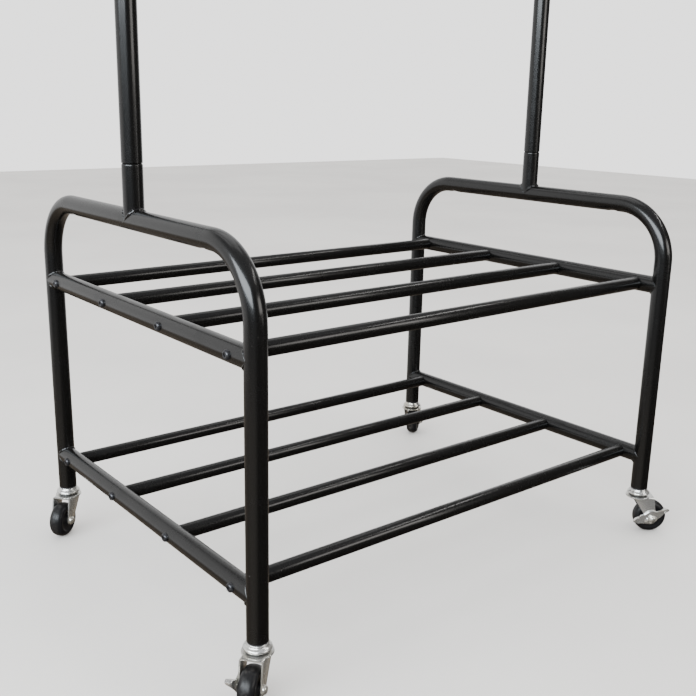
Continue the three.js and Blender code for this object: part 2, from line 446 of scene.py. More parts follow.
# the tools are used up
def combined(piece, operation, *tools):
    for tool in tools:
        step = piece.modifiers.new(operation, "BOOLEAN")
        step.operation = operation
        step.solver = "EXACT"
        step.object = tool
    workIn(piece)
    for tool in tools:
        bpy.data.objects.remove(tool)
    return piece


def bevelled(piece, width, segments=2):
    step = piece.modifiers.new("edges", "BEVEL")
    step.width = width
    step.segments = segments
    step.limit_method = "ANGLE"
    step.angle_limit = math.radians(40)
    return workIn(piece)


# a closed solid from an outline of (x, y) points in millimetres, between two heights
def prism(name, outline, low, high, matrix):
    count = len(outline)
    verts = [matrix @ (Vector((x, y, z)) * mm) for z in (low, high) for x, y in outline]
    faces = [[i, (i + 1) % count, count + (i + 1) % count, count + i] for i in range(count)]
    faces += [list(range(count))[::-1], list(range(count, 2 * count))]
    mesh = bpy.data.meshes.new(name)
    mesh.from_pydata(verts, [], faces)
    facingOut(mesh)
    return newObject(name, mesh)


def arc(centre, radius, start, end, steps):
    angles = [math.radians(start + (end - start) * i / steps) for i in range(steps + 1)]
    return [(centre[0] + radius * math.cos(a), centre[1] + radius * math.sin(a)) for a in angles]


def circle(radius, steps=48):
    return arc((0, 0), radius, 0, 360, steps)[:-1]


# a solid of rings about the z axis, in millimetres. A radius or a height may be a rule of the
# angle. Rings that start and end on the axis close there, and others close on themselves.
def turned(name, rings, count, matrix):
    def at(value, angle):
        return value(angle) if callable(value) else value

    verts, rows, faces, uvs = [], [], [], []
    for radius, height in rings:
        first = len(verts)
        if radius == 0:
            verts.append(matrix @ (Vector((0, 0, at(height, 0))) * mm))
            rows.append([first] * (count + 1))
            continue
        for i in range(count):
            angle = 2 * math.pi * i / count
            r = at(radius, angle)
            spot = Vector((r * math.cos(angle), r * math.sin(angle), at(height, angle)))
            verts.append(matrix @ (spot * mm))
        rows.append([*range(first, first + count), first])
    pairs = list(zip(rows, rows[1:]))
    if rings[0][0] != 0:
        pairs.append((rows[-1], rows[0]))
    for level, (lower, upper) in enumerate(pairs):
        low, high = level / len(pairs), (level + 1) / len(pairs)
        for i in range(count):
            left, right = i / count, (i + 1) / count
            loop = [lower[i], lower[i + 1], upper[i + 1], upper[i]]
            uv = [(left, low), (right, low), (right, high), (left, high)]
            keep = [k for k in range(4) if loop[k] != loop[k - 1]]
            faces.append([loop[k] for k in keep])
            uvs.extend(uv[k] for k in keep)
    mesh = bpy.data.meshes.new(name)
    mesh.from_pydata(verts, [], faces)
    layer = mesh.uv_layers.new(name="turning")
    for corner, uv in enumerate(uvs):
        layer.data[corner].uv = uv
    facingOut(mesh)
    return newObject(name, mesh)


# tubes with ends coped onto crossing tubes: an end is (point, crossing direction, its radius)
def copedTube(name, radius, start, end, sides, chamfer=0.0):
    axis = (end[0] - start[0]).normalized()
    rows = []

    def addRow(anchor, crossing, crossRadius, along, shrink, setBack):
        lateral = crossing.cross(axis).normalized()
        for i in range(sides):
            angle = 2 * math.pi * i / sides
            wall = (crossing * math.sin(angle) + lateral * math.cos(angle)) * (radius - shrink)
            reach = math.sqrt(max(crossRadius ** 2 - wall.dot(lateral) ** 2, 0.0)) + setBack
            rows.append(anchor + wall + axis * along * reach)

    edge = [(chamfer, 0.0), (0.25 * chamfer, 0.35 * chamfer)] if chamfer else []
    for shrink, setBack in [*edge, (0.0, chamfer)]:
        addRow(*start, 1, shrink, setBack)
    for shrink, setBack in [(0.0, chamfer), *edge[::-1]]:
        addRow(*end, -1, shrink, setBack)
    faces = []
    for first in range(0, len(rows) - sides, sides):
        for i in range(sides):
            pair = [first + i, first + (i + 1) % sides]
            faces.append([*pair, pair[1] + sides, pair[0] + sides])
    for anchor, first in ((start[0], 0), (end[0], len(rows) - sides)):
        faces += [[first + i, first + (i + 1) % sides, len(rows)] for i in range(sides)]
        rows.append(anchor.copy())
    mesh = bpy.data.meshes.new(name)
    mesh.from_pydata(rows, [], faces)
    facingOut(mesh)
    return newObject(name, mesh)


# geometry nodes: a tree starts from an object's mesh and named sizes

socketKinds = {
    "length": "NodeSocketFloat",
    "count": "NodeSocketInt",
}


def newTree(name, inputs):
    tree = bpy.data.node_groups.new(name, "GeometryNodeTree")
    face = tree.interface
    face.new_socket("Geometry", in_out="INPUT", socket_type="NodeSocketGeometry")
    for label, kind in inputs.items():
        face.new_socket(label, in_out="INPUT", socket_type=socketKinds[kind])
    face.new_socket("Finish", in_out="INPUT", socket_type="NodeSocketMaterial")
    face.new_socket("Geometry", in_out="OUTPUT", socket_type="NodeSocketGeometry")
    graph = Graph(tree)
    return graph, graph.node("NodeGroupInput")


def endTree(graph, given, geometry):
    real = graph.node("GeometryNodeRealizeInstances", None, {"Geometry": geometry})["Geometry"]
    values = {"Geometry": real, "Material": given["Finish"]}
    coated = graph.node("GeometryNodeSetMaterial", None, values)["Geometry"]
    graph.node("NodeGroupOutput", None, {"Geometry": coated})
    return graph.tree


# the plain mesh that a tree makes from a source mesh
def grown(name, source, tree, inputs):
    made = newObject(name, source)
    modifier = made.modifiers.new(tree.name, "NODES")
    modifier.node_group = tree
    for item in tree.interface.items_tree:
        if item.in_out == "INPUT" and item.name in inputs:
            modifier[item.identifier] = inputs[item.name]
    workIn(made)
    facingOut(made.data)
    return made


def polyline(name, points):
    mesh = bpy.data.meshes.new(name)
    mesh.from_pydata(points, [(i, i + 1) for i in range(len(points) - 1)], [])
    return mesh


# end hoops and hanging rail: a line with rounded corners, swept by a circle

tubeShape = {
    "sides": 56,
    "bendSteps": 26,
    "flattening": 0.035,  # a bend goes slightly oval
    "end": 20 * mm,  # how far past its ends a bend is shaped
}
markShape = {
    "past": 14 * mm,  # from the bend's end to the middle of the former's mark
    "half": 7 * mm,
    "width": 9 * mm,
    "depth": 0.9 * mm,
    "lowest": 1.1,  # in tube radii below the run's axis
    "cuts": [3 * k * mm for k in range(1, 10)],
}


def makeBentTubeTree():
    graph, given = newTree("bentTube", {
        "Bend Radius": "length", "Bend Steps": "count", "Tube Radius": "length", "Sides": "count",
    })
    curve = graph.node("GeometryNodeMeshToCurve", None, {"Mesh": given["Geometry"]})["Curve"]
    bent = graph.node("GeometryNodeFilletCurve", {"mode": "POLY"}, {
        "Curve": curve, "Radius": given["Bend Radius"], "Count": given["Bend Steps"],
    })["Curve"]
    section = graph.node("GeometryNodeCurvePrimitiveCircle", None, {
        "Resolution": given["Sides"], "Radius": given["Tube Radius"],
    })["Curve"]
    tube = graph.node("GeometryNodeCurveToMesh", None, {
        "Curve": bent, "Profile Curve": section, "Fill Caps": True,
    })["Mesh"]
    return endTree(graph, given, tube)


# legDown and runOut are unit directions from the corner along its two straight runs
def flattenBend(piece, corner, legDown, runOut):
    centre = corner + (legDown + runOut) * bendRadius
    for vert in piece.data.vertices:
        offset = vert.co - centre
        across, up = -offset.dot(runOut), -offset.dot(legDown)
        reach = math.hypot(across, up)
        if reach == 0 or min(across, up) < -tubeShape["end"]:
            continue
        angle = min(max(math.atan2(up, across), 0.0), math.pi / 2)
        radial = (runOut * -across + legDown * -up) / reach
        vert.co += radial * (bendRadius - reach) * tubeShape["flattening"] * math.sin(2 * angle)


# the bending former presses the tube's inside just past the end of a bend
def pressMark(piece, corner, legDown, runOut):
    work = bmesh.new()
    work.from_mesh(piece.data)
    for cut in markShape["cuts"]:
        parts = [*work.verts, *work.edges, *work.faces]
        at = corner + runOut * (bendRadius + cut)
        bmesh.ops.bisect_plane(work, geom=parts, plane_co=at, plane_no=runOut)
    middleRun = corner + runOut * (bendRadius + markShape["past"])
    sideways = legDown.cross(runOut)
    for vert in work.verts:
        offset = vert.co - middleRun
        inside = offset.dot(legDown) / tubeRadius
        along = offset.dot(runOut) / markShape["half"]
        beside = offset.dot(sideways) / markShape["width"]
        if 0 < inside < markShape["lowest"]:
            vert.co -= legDown * markShape["depth"] * math.exp(-along ** 4 - beside ** 4)
    work.to_mesh(piece.data)
    work.free()


def makeBentTube(name, points):
    inputs = {
        "Bend Radius": bendRadius,
        "Bend Steps": tubeShape["bendSteps"],
        "Tube Radius": tubeRadius,
        "Sides": tubeShape["sides"],
        "Finish": coatFinish,
    }
    corners = [Vector(point) for point in points]
    tube = grown(name, polyline(name, points), bentTubeTree, inputs)
    for before, corner, after in zip(corners, corners[1:], corners[2:]):
        flattenBend(tube, corner, (before - corner).normalized(), (after - corner).normalized())
    return tube


bentTubeTree = makeBentTubeTree()
for side, x in sides.items():
    hoop = makeBentTube(f"{side}_hoop_tube", [
        (x, -legY, legBottomZ), (x, -legY, hoopTopZ), (x, legY, hoopTopZ), (x, legY, legBottomZ),
    ])
    for y in (-legY, legY):
        pressMark(hoop, Vector((x, y, hoopTopZ)), Vector((0, 0, -1)), Vector((0, -y / legY, 0)))
    facingOut(hoop.data)
    place(hoop, "rack", coatFinish, "black_powder_coat", f"{side}_end_hoop")
hanging = makeBentTube("hanging_rail_tube", [
    (-legX, 0, railEndZ), (-legX, 0, hangingZ), (legX, 0, hangingZ), (legX, 0, railEndZ),
])
place(hanging, "rack", coatFinish, "black_powder_coat", "hanging_rail")
print("hoops and hanging rail bent")


# side rails, coped onto the legs

railShape = {"sides": 64, "sink": 0.3 * mm}  # a welded end runs slightly into the tube it meets
for side, x in sides.items():
    for level, z in railZ.items():
        ends = [
            (Vector((x, y, z)), Vector((0, 0, 1)), tubeRadius - railShape["sink"])
            for y in (-legY, legY)
        ]
        rail = copedTube(f"{side}_{level}_rail_tube", tubeRadius, *ends, railShape["sides"])
        place(rail, "rack", coatFinish, "black_powder_coat", f"{side}_{level}_rail")
print("rails coped")


# shelf bars: one coped tube, repeated at the bars' pitch

barShape = {"sides": 48, "chamfer": 0.5 * mm, "seam": 0.15 * mm}


def makeBarRowTree():
    graph, given = newTree("barRow", {"Count": "count", "Pitch": "length"})
    step = graph.node("ShaderNodeCombineXYZ", None, {"Y": given["Pitch"]})["Vector"]
    values = {"Count": given["Count"], "Offset": step}
    line = graph.node("GeometryNodeMeshLine", None, values)["Mesh"]
    values = {"Points": line, "Instance": given["Geometry"]}
    row = graph.node("GeometryNodeInstanceOnPoints", None, values)["Instances"]
    return endTree(graph, given, row)


barRowTree = makeBarRowTree()
for level, z in railZ.items():
    seat = tubeRadius + barShape["seam"]
    ends = [(Vector((x, barY[0], z)), Vector((0, 1, 0)), seat) for x in (-legX, legX)]
    first = copedTube("bar", barRadius, *ends, barShape["sides"], barShape["chamfer"])
    inputs = {"Count": len(barY), "Pitch": barY[1] - barY[0], "Finish": coatFinish}
    row = grown(f"{level}_shelf_bars", first.data, barRowTree, inputs)
    bpy.data.objects.remove(first)
    nodes = [f"{level}_shelf_bar_{i + 1}" for i in range(len(barY))]
    place(row, "rack", coatFinish, "black_powder_coat", *nodes)
print("shelf bars placed")


# posts: hollow sections that slide over each other's spigots, chamfered at each joint

postShape = {
    "wall": 1.5,
    "chamfer": 0.3,
    # the rounded upper edge of a section: (inset, depth)
    "lip": [(0.0, 3.2), (0.0, 2.3), (0.12, 1.6), (0.5, 0.9), (1.0, 0.4), (1.45, 0.12)],
    "spigot": 36.0,
    "spigotWall": 1.4,
    "spigotTip": (0.8, 1.0),  # inset and height of its chamfer
    "root": (30.0, 32.0),  # how deep the spigot's bore narrows in the section
    "sink": 0.3,
    "play": 0.4,
    "joint": 0.3,
    "count": 64,
}


# low may be a rule of the radius and angle, for a coped foot
def postRings(low, high):
    outer = tubeRadius / mm
    inner = outer - postShape["wall"]
    chamfer = postShape["chamfer"]
    spigot = inner - postShape["play"]
    bore = spigot - postShape["spigotWall"]
    tip = high + postShape["spigot"]
    tipInset, tipHeight = postShape["spigotTip"]
    narrow, wide = postShape["root"]
    if callable(low):
        foot = [(inner, lambda angle: low(inner, angle)), (outer, lambda angle: low(outer, angle))]
    else:
        foot = [(inner, low), (outer - chamfer, low), (outer, low + chamfer)]
    return foot + [
        *[(outer - inset, high - depth) for inset, depth in postShape["lip"]],
        (spigot, high), (spigot, tip - tipHeight), (spigot - tipInset, tip),
        (bore, tip), (bore, high - narrow), (inner, high - wide),
    ]


def saddle(radius, angle):
    hoop = tubeRadius / mm - postShape["sink"]
    across = min(hoop, abs(radius * math.cos(angle)))
    return hoopTopZ / mm + math.sqrt(hoop ** 2 - across ** 2)


stubTop = bottom("left_lower_post") / mm - postShape["joint"]
splitZ = bottom("left_upper_post") / mm
for side, x in sides.items():
    sections = {
        "post_stub": postRings(saddle, stubTop),
        "lower_post": postRings(stubTop + postShape["joint"], splitZ - postShape["joint"]),
        "upper_post": postRings(splitZ, railEndZ / mm - postShape["joint"]),
    }
    for name, rings in sections.items():
        post = turned(f"{side}_{name}_tube", rings, postShape["count"],
                      Matrix.Translation((x, 0, 0)))
        place(post, "rack", coatFinish, "black_powder_coat", f"{side}_{name}")
print("posts stacked")


# weld beads along every coped joint of the frame

weldShape = {
    "bead": 2.3 * mm,
    "thinnest": 0.55,  # shares of the bead's radius
    "ripple": 0.07,
    "unevenness": 0.9,
    "lumps": 190.0,
    "pitch": 2.4 * mm,
    "inset": 0.4 * mm,
    "sides": 12,
    "points": 96,
    "fade": 0.22,
    "swell": 1.5,
    "stubSize": 1.5,
}


def makeWeldTree():
    graph, given = newTree("weldBead", {
        "Bead Radius": "length", "Ripple Pitch": "length", "Sides": "count",
    })
    curve = graph.node("GeometryNodeMeshToCurve", None, {"Mesh": given["Geometry"]})["Curve"]
    along = graph.node("GeometryNodeSplineParameter")["Length"]
    turn = along * (2 * math.pi) / given["Ripple Pitch"]
    ripple = graph.node("ShaderNodeMath", {"operation": "SINE"}, {0: turn})[0]
    lumps = {"Scale": weldShape["lumps"], "Detail": 2.0}
    uneven = graph.node("ShaderNodeTexNoise", None, lumps)["Fac"]
    fade = graph.node("GeometryNodeInputNamedAttribute", {"data_type": "FLOAT"}, {"Name": "fade"})
    thickness = weldShape["ripple"] * ripple + weldShape["unevenness"] * uneven
    thickness = weldShape["thinnest"] + thickness
    size = given["Bead Radius"] * fade["Attribute"] * thickness
    section = graph.node("GeometryNodeCurvePrimitiveCircle", None, {"Resolution": given["Sides"]})
    bead = graph.node("GeometryNodeCurveToMesh", None, {
        "Curve": curve, "Profile Curve": section["Curve"], "Scale": size,
    })["Mesh"]
    return endTree(graph, given, bead)


# one closed seam where a tube along "axis" meets a tube along "crossing" at "anchor"
def seamPoints(anchor, axis, crossing, size=1.0):
    lateral = crossing.cross(axis).normalized()
    inset = tubeRadius - weldShape["inset"]
    points, fades = [], []
    for i in range(weldShape["points"]):
        angle = 2 * math.pi * (i + 0.5) / weldShape["points"]
        lift = abs(math.sin(angle))
        wall = (crossing * math.sin(angle) + lateral * math.cos(angle)) * inset
        points.append(anchor + wall + axis * inset * lift)
        full = min(1.0, lift * weldShape["swell"]) ** weldShape["swell"]
        fades.append(size * (weldShape["fade"] + (1 - weldShape["fade"]) * full))
    return points, fades


seams = [
    seamPoints(Vector((x, y, z)), Vector((0, -y / legY, 0)), Vector((0, 0, 1)))
    for x in sides.values() for z in railZ.values() for y in (-legY, legY)
]
seams += [
    seamPoints(Vector((x, 0, hoopTopZ)), Vector((0, 0, 1)), Vector((0, 1, 0)),
               weldShape["stubSize"])
    for x in sides.values()
]
seamMesh = bpy.data.meshes.new("weld_seams")
seamEdges = []
for index in range(len(seams)):
    first = index * weldShape["points"]
    ring = list(range(first, first + weldShape["points"]))
    seamEdges += list(zip(ring, ring[1:] + ring[:1]))
seamMesh.from_pydata([point for points, fades in seams for point in points], seamEdges, [])
fadeLayer = seamMesh.attributes.new("fade", "FLOAT", "POINT")
fadeLayer.data.foreach_set("value", [fade for points, fades in seams for fade in fades])
beads = grown("frame_weld_beads", seamMesh, makeWeldTree(), {
    "Bead Radius": weldShape["bead"],
    "Ripple Pitch": weldShape["pitch"],
    "Sides": weldShape["sides"],
    "Finish": weldFinish,
})
place(beads, "rack", weldFinish, "black_powder_coat")
print("joints welded")


# bolts: one button head with a hexagon socket, set on sixteen points of the rails

boltShape = {
    "head": 5.7,
    "height": 3.1,
    "skirt": 1.3,
    "shank": 3.0,
    "length": 34.0,
    "socket": 4.0,
    "socketDepth": 2.0,
    "count": 48,
}


def hexagon(acrossFlats):
    sector = math.pi / 3
    return lambda angle: acrossFlats / 2 / math.cos((angle + sector / 2) % sector - sector / 2)


def makeBolt():
    head, height = boltShape["head"], boltShape["height"]
    socket = hexagon(boltShape["socket"])
    floor = height - boltShape["socketDepth"]
    rings = [
        (0, -boltShape["length"]),
        (boltShape["shank"] - 0.6, -boltShape["length"]),
        (boltShape["shank"], -boltShape["length"] + 0.6),
        (boltShape["shank"], -boltShape["skirt"]),
        (head - 0.2, -boltShape["skirt"]),
        (head, -boltShape["skirt"] + 0.2),
        (head, 0.35),
        (0.985 * head, 0.65),
        (0.95 * head, 1.35),
        (0.88 * head, 2.1),
        (0.80 * head, 2.65),
        (0.73 * head, 2.95),
        (0.67 * head, 3.07),
        (0.62 * head, height),
        (0.46 * head, height),
        (lambda angle: socket(angle) + 0.06, height - 0.12),
        (socket, height - 0.3),
        (socket, floor),
        (lambda angle: socket(angle) * 0.55, floor - 0.5),
        (0, floor - 0.9),
    ]
    outward = Matrix.Rotation(math.pi / 2, 4, "Y")  # the bolt's axis runs along +x
    return turned("bolt", rings, boltShape["count"], outward)


def makeBoltTree():
    graph, given = newTree("boltPattern", {"Seed": "count"})
    bolt = graph.node("GeometryNodeObjectInfo", None, {"Object": boltModel})["Geometry"]
    turn = graph.node("GeometryNodeInputNamedAttribute", {"data_type": "FLOAT"}, {"Name": "turn"})
    spin = graph.node("FunctionNodeRandomValue", {"data_type": "FLOAT"}, {
        2: 0.0, 3: math.pi / 3, "Seed": given["Seed"],
    })
    euler = graph.node("ShaderNodeCombineXYZ", None, {"X": spin[1], "Z": turn["Attribute"]})
    rotation = graph.node("FunctionNodeEulerToRotation", None, {"Euler": euler["Vector"]})
    placed = graph.node("GeometryNodeInstanceOnPoints", None, {
        "Points": given["Geometry"], "Instance": bolt, "Rotation": rotation["Rotation"],
    })["Instances"]
    return endTree(graph, given, placed)


boltModel = makeBolt()
boltSeats = [
    ((math.copysign(legX + tubeRadius, x), y, z), 0.0 if x > 0 else math.pi)
    for x in sides.values() for z in railZ.values() for y in barY
]
boltPoints = bpy.data.meshes.new("bolt_seats")
boltPoints.from_pydata([spot for spot, turn in boltSeats], [], [])
turnLayer = boltPoints.attributes.new("turn", "FLOAT", "POINT")
turnLayer.data.foreach_set("value", [turn for spot, turn in boltSeats])
bolts = grown("rail_bolts", boltPoints, makeBoltTree(), {"Seed": 7, "Finish": boltFinish})
bpy.data.objects.remove(boltModel)
boltNodes = [f"{side}_{level}_bolt_{i + 1}" for side in sides for level in railZ for i in range(4)]
place(bolts, "rack", boltFinish, "bolt_steel", *boltNodes)
print("bolts driven")


# casters: each is made in its own frame, x from the swivel axis towards the axle

casterShape = {
    "axleZ": 25.0,
    "trail": 20.0,
    "forkOuter": 14.0,
    "forkInner": 12.0,
    "forkTop": 59.0,
    "forkWall": 2.0,
    "bend": 3.0,
    "disc": 18.5,
    "discEdge": 0.5,
    "discCount": 96,
    "blank": (-20.0, 40.0),  # the channel's ends before the cheeks are cut
    "skirt": 10.0,
    "back": 21.2,
    "front": -9.3,
    "toe": 7.0,
    "edge": 0.35 * mm,
    "stemHole": 5.4,
    "axleHole": 3.4,
    "nutFlats": 9.6,
    "washer": 0.2,
    "brake": 2.8,  # room for a lever between the fork and its nut
    "count": 72,
}


def makeStem(corner, matrix):
    rings = [
        (0, 54.6), (6.4, 54.6), (7.0, 55.2), (6.8, 56.0), (6.2, 56.5), (4.8, 56.6), (4.8, 62.2),
        (12.0, 62.2), (15.6, 62.3), (16.2, 62.6), (16.5, 63.1), (16.5, 64.0), (16.3, 64.7),
        (15.8, 65.4), (15.0, 66.1), (14.2, 66.7), (13.5, 67.3), (13.0, 68.0), (12.8, 68.8),
        (12.6, 69.6), (12.3, 70.0), (11.9, 70.2), (4.0, 70.2), (4.0, 107.5), (3.2, 108.5),
        (0, 108.5),
    ]
    stem = turned(f"{corner}_raceway_cup", rings, casterShape["count"], matrix)
    place(stem, "rack", zincFinish, "bright_zinc", f"{corner}_caster_stem")
    rings = [(5.2, 59.3), (13.3, 59.3), (13.6, 59.7), (13.6, 62.1), (5.2, 62.1)]
    race = turned(f"{corner}_ball_race", rings, casterShape["count"], matrix)
    place(race, "rack", greaseFinish, "black_plastic")


def makeLegPlug(corner, matrix):
    low, seat = casterTopZ / mm, legBottomZ / mm
    rings = [
        (4.4, low), (11.9, low), (12.3, low + 0.4), (12.3, seat - 0.35), (12.0, seat - 0.1),
        (10.7, seat - 0.1), (10.7, seat + 32), (10.2, seat + 34), (4.4, seat + 34),
    ]
    plug = turned(f"{corner}_foot_plug", rings, casterShape["count"], matrix)
    place(plug, "rack", plugFinish, "black_plastic", f"{corner}_leg_plug")


def channelSection():
    outer, inner, top = casterShape["forkOuter"], casterShape["forkInner"], casterShape["forkTop"]
    bend, wall, low = casterShape["bend"], casterShape["forkWall"], casterShape["skirt"]
    right = [(outer, low), *arc((outer - bend, top - bend), bend, 0, 90, 6)]
    under = [
        *arc((inner - bend + wall, top - wall - bend + wall), bend - wall, 90, 0, 4), (inner, low),
    ]
    mirrored = [[(-y, z) for y, z in side[::-1]] for side in (right, under)]
    return right + mirrored[0] + mirrored[1] + under


def cheekOutline():
    toe, back, front = casterShape["toe"], casterShape["back"], casterShape["front"]
    centre = (casterShape["trail"], casterShape["axleZ"])
    top = casterShape["forkTop"] - casterShape["forkWall"]

    def tangent(x, side):
        away, rise = x - centre[0], top - centre[1]
        return math.degrees(math.atan2(rise, away) + side * math.acos(toe / math.hypot(away, rise)))

    above = casterShape["forkTop"] + 1
    around = arc(centre, toe, tangent(front, 1), 360 + tangent(back, -1), 24)
    return [(back, above), (front, above), (front, top), *around, (back, top)]


def makeFork(corner, body, matrix):
    lengthwise = Matrix(((0, 0, 1, 0), (1, 0, 0, 0), (0, 1, 0, 0), (0, 0, 0, 1)))
    sideways = Matrix(((1, 0, 0, 0), (0, 0, -1, 0), (0, 1, 0, 0), (0, 0, 0, 1)))
    fork = prism(f"{corner}_stamped_fork", channelSection(), *casterShape["blank"], lengthwise)
    combined(fork, "INTERSECT", prism("cheeks", cheekOutline(), -30, 30, sideways))
    top, wall, edge = (casterShape[key] for key in ("forkTop", "forkWall", "discEdge"))
    radius = casterShape["disc"]
    plate = turned("disc", [
        (0, top - wall), (radius - edge, top - wall), (radius, top - wall + edge),
        (radius, top - edge), (radius - edge, top), (0, top),
    ], casterShape["discCount"], Matrix())
    combined(fork, "UNION", plate)
    stemHole = prism("stemHole", circle(casterShape["stemHole"]), 40, 70, Matrix())
    axle = Matrix.Translation((casterShape["trail"] * mm, 0, casterShape["axleZ"] * mm))
    axleHole = prism("axleHole", circle(casterShape["axleHole"]), -30, 30, axle @ sideways)
    combined(fork, "DIFFERENCE", stemHole, axleHole)
    bevelled(fork, casterShape["edge"])
    fork.data.transform(matrix)
    place(fork, body, zincFinish, "bright_zinc", f"{corner}_caster_fork")


# a head on the left of the fork and a domed nut on its right, past the brake where there is one
def makeAxle(corner, body, matrix, extra):
    seat = casterShape["forkOuter"] + casterShape["washer"]
    nut = seat + extra
    flats = hexagon(casterShape["nutFlats"])
    rings = [
        (0, -seat - 3.9), (2.2, -seat - 3.8), (3.9, -seat - 3.3), (4.9, -seat - 2.2),
        (5.3, -seat - 0.9), (5.4, -seat), (3.0, -seat), (3.0, nut), (5.3, nut),
        (lambda angle: min(flats(angle), 5.3), nut + 0.3),
        (lambda angle: min(flats(angle), 5.4), nut + 0.8),
        (lambda angle: min(flats(angle), 5.4), nut + 2.3),
        (lambda angle: min(flats(angle), 4.9), nut + 2.8),
        (4.2, nut + 3.1), (3.9, nut + 3.7), (3.2, nut + 4.4), (2.0, nut + 4.85), (0, nut + 5.0),
    ]
    axle = turned(f"{corner}_axle_bolt", rings, 48, matrix @ Matrix.Rotation(math.pi / 2, 4, "X"))
    place(axle, body, zincFinish, "bright_zinc", f"{corner}_caster_axle")


wheelShape = {"radius": 25.0, "lip": 18.2, "half": 10.0, "count": 112, "parting": 0.06}


def makeWheel(corner, body, matrix):
    radius, lip, half = wheelShape["radius"], wheelShape["lip"], wheelShape["half"]
    side = [
        (3.4, half + 0.9), (6.6, half + 1.0), (7.3, half + 0.8), (7.7, half + 0.2),
        (8.2, half - 0.4), (9.0, half - 0.7), (14.8, half - 0.8), (16.0, half - 0.6),
        (16.9, half - 0.3), (17.5, half - 0.05),
    ]
    dome = [
        (lip + (radius - lip) * math.sin(math.radians(a)), half * math.cos(math.radians(a)) ** 0.8)
        for a in range(0, 86, 6)
    ]
    seam = [(radius, 0.35), (radius - wheelShape["parting"], 0.12)]
    outline = side + dome + seam
    rings = [(r, -z) for r, z in outline] + outline[::-1]
    wheel = turned(f"{corner}_domed_wheel", rings, wheelShape["count"],
                   matrix @ Matrix.Rotation(math.pi / 2, 4, "X"))
    place(wheel, body, wheelFinish, "wheel_plastic", f"{corner}_caster_wheel")


# a pressed plate about the axle: its outline is (angle, reach), its pedals are folded outwards
leverShape = {
    "outline": [
        (0, 7.6), (14, 11.6), (26, 18.4), (33, 24.6), (38, 26.2), (42, 25.6), (46, 21.0),
        (51, 15.4), (58, 12.4), (68, 11.6), (90, 11.8), (112, 11.8), (132, 11.8), (150, 13.0),
        (160, 16.4), (168, 19.6), (175, 24.0), (181, 27.4), (187, 28.4), (192, 27.0), (198, 22.5),
        (207, 15.5), (222, 11.0), (245, 8.6), (270, 7.6), (300, 6.6), (330, 6.6), (345, 6.9),
        (360, 7.6),
    ],
    "pedals": [(40, 9, 6.5), (178, 10, 6.5)],  # middle angle, spread and fold height
    "rim": (0.5, 1.0, 4),  # rise, reach and steps of the turned edge
    "splay": 0.12,  # how far a pedal leans outwards, as a share of its height
    "boss": (10.5, 6.6, 1.7),  # length, width and height of the pressed oval
    "bossAt": (-1.0, -1.6),
    "bossSlope": 1.6,
    "nutSeat": (6.0, 1.4),  # the boss falls back to the plate inside this radius, over this run
    "tilt": 18.0,
    "plate": 15.4,
    "wall": 1.7,
    "edge": 0.3 * mm,
    "rays": 144,
    "steps": 16,
}


def leverReach(angle):
    outline = leverShape["outline"]
    for (low, first), (high, second) in zip(outline, outline[1:]):
        if low <= angle <= high:
            share = (angle - low) / (high - low)
            return first + (second - first) * share


def makeLever(corner, body, matrix):
    hole, steps = casterShape["axleHole"], leverShape["steps"]
    length, width, height = leverShape["boss"]
    bossU, bossV = leverShape["bossAt"]
    nutSeat, seatRun = leverShape["nutSeat"]
    rimRise, rimReach, rimSteps = leverShape["rim"]
    rows = steps + rimSteps + 1
    tilt = math.radians(leverShape["tilt"])
    verts, faces = [], []
    rays = leverShape["rays"]
    for i in range(rays):
        angle = 360 * i / rays
        reach = leverReach(angle)
        fold = sum(rise * math.exp(-((angle - middle) / spread) ** 4)
                   for middle, spread, rise in leverShape["pedals"])
        a = math.radians(angle)
        for k in range(rows):
            share = min(k / steps, 1.0)
            r = hole + (reach - hole) * share
            out = 0.0
            if k > steps:
                lap = (k - steps) / rimSteps
                out = (rimRise + fold) * lap ** 1.3
                r += rimReach * lap ** 0.5 + leverShape["splay"] * fold * lap
            u, v = r * math.cos(a), r * math.sin(a)
            fromU, fromV = u - bossU, v - bossV
            along = (fromU * math.cos(tilt) + fromV * math.sin(tilt)) / length
            beside = (fromV * math.cos(tilt) - fromU * math.sin(tilt)) / width
            slope = leverShape["bossSlope"] * (1.0 - along * along - beside * beside)
            mound = min(1.0, max(0.0, slope))
            clear = min(1.0, max(0.0, (r - nutSeat) / seatRun))
            out += height * clear * mound * mound * (3 - 2 * mound)
            verts.append(Vector((u, -leverShape["plate"] - out, v)) * mm)
    for i in range(rays):
        for k in range(rows - 1):
            a, b = i * rows + k, (i + 1) % rays * rows + k
            faces.append([a, b, b + 1, a + 1])
    mesh = bpy.data.meshes.new(f"{corner}_pressed_lever")
    mesh.from_pydata(verts, [], faces)
    facingOut(mesh)
    lever = newObject(f"{corner}_pressed_lever", mesh)
    thick = lever.modifiers.new("wall", "SOLIDIFY")
    thick.thickness = leverShape["wall"] * mm
    thick.offset = 0.0
    workIn(lever)
    bevelled(lever, leverShape["edge"])
    facingOut(lever.data)
    lever.data.transform(matrix)
    place(lever, body, zincFinish, "bright_zinc", f"{corner}_brake_lever")


braked = ["left_front", "right_front"]
for corner, (x, y, headX, headY) in corners.items():
    upright = Matrix.Translation((x, y, 0))
    heading = Matrix(((headX, -headY, 0, x), (headY, headX, 0, y), (0, 0, 1, 0), (0, 0, 0, 1)))
    axle = Matrix.Translation((casterShape["trail"] * mm, 0, casterShape["axleZ"] * mm))
    makeStem(corner, upright)
    makeLegPlug(corner, upright)
    makeFork(corner, f"{corner}_caster", heading)
    extra = casterShape["brake"] if corner in braked else 0.0
    makeAxle(corner, f"{corner}_caster", heading @ axle, extra)
    makeWheel(corner, f"{corner}_wheel", heading @ axle)
    if corner in braked:
        makeLever(corner, corner.replace("_front", "_front_brake"), heading @ axle)
print("casters fitted")


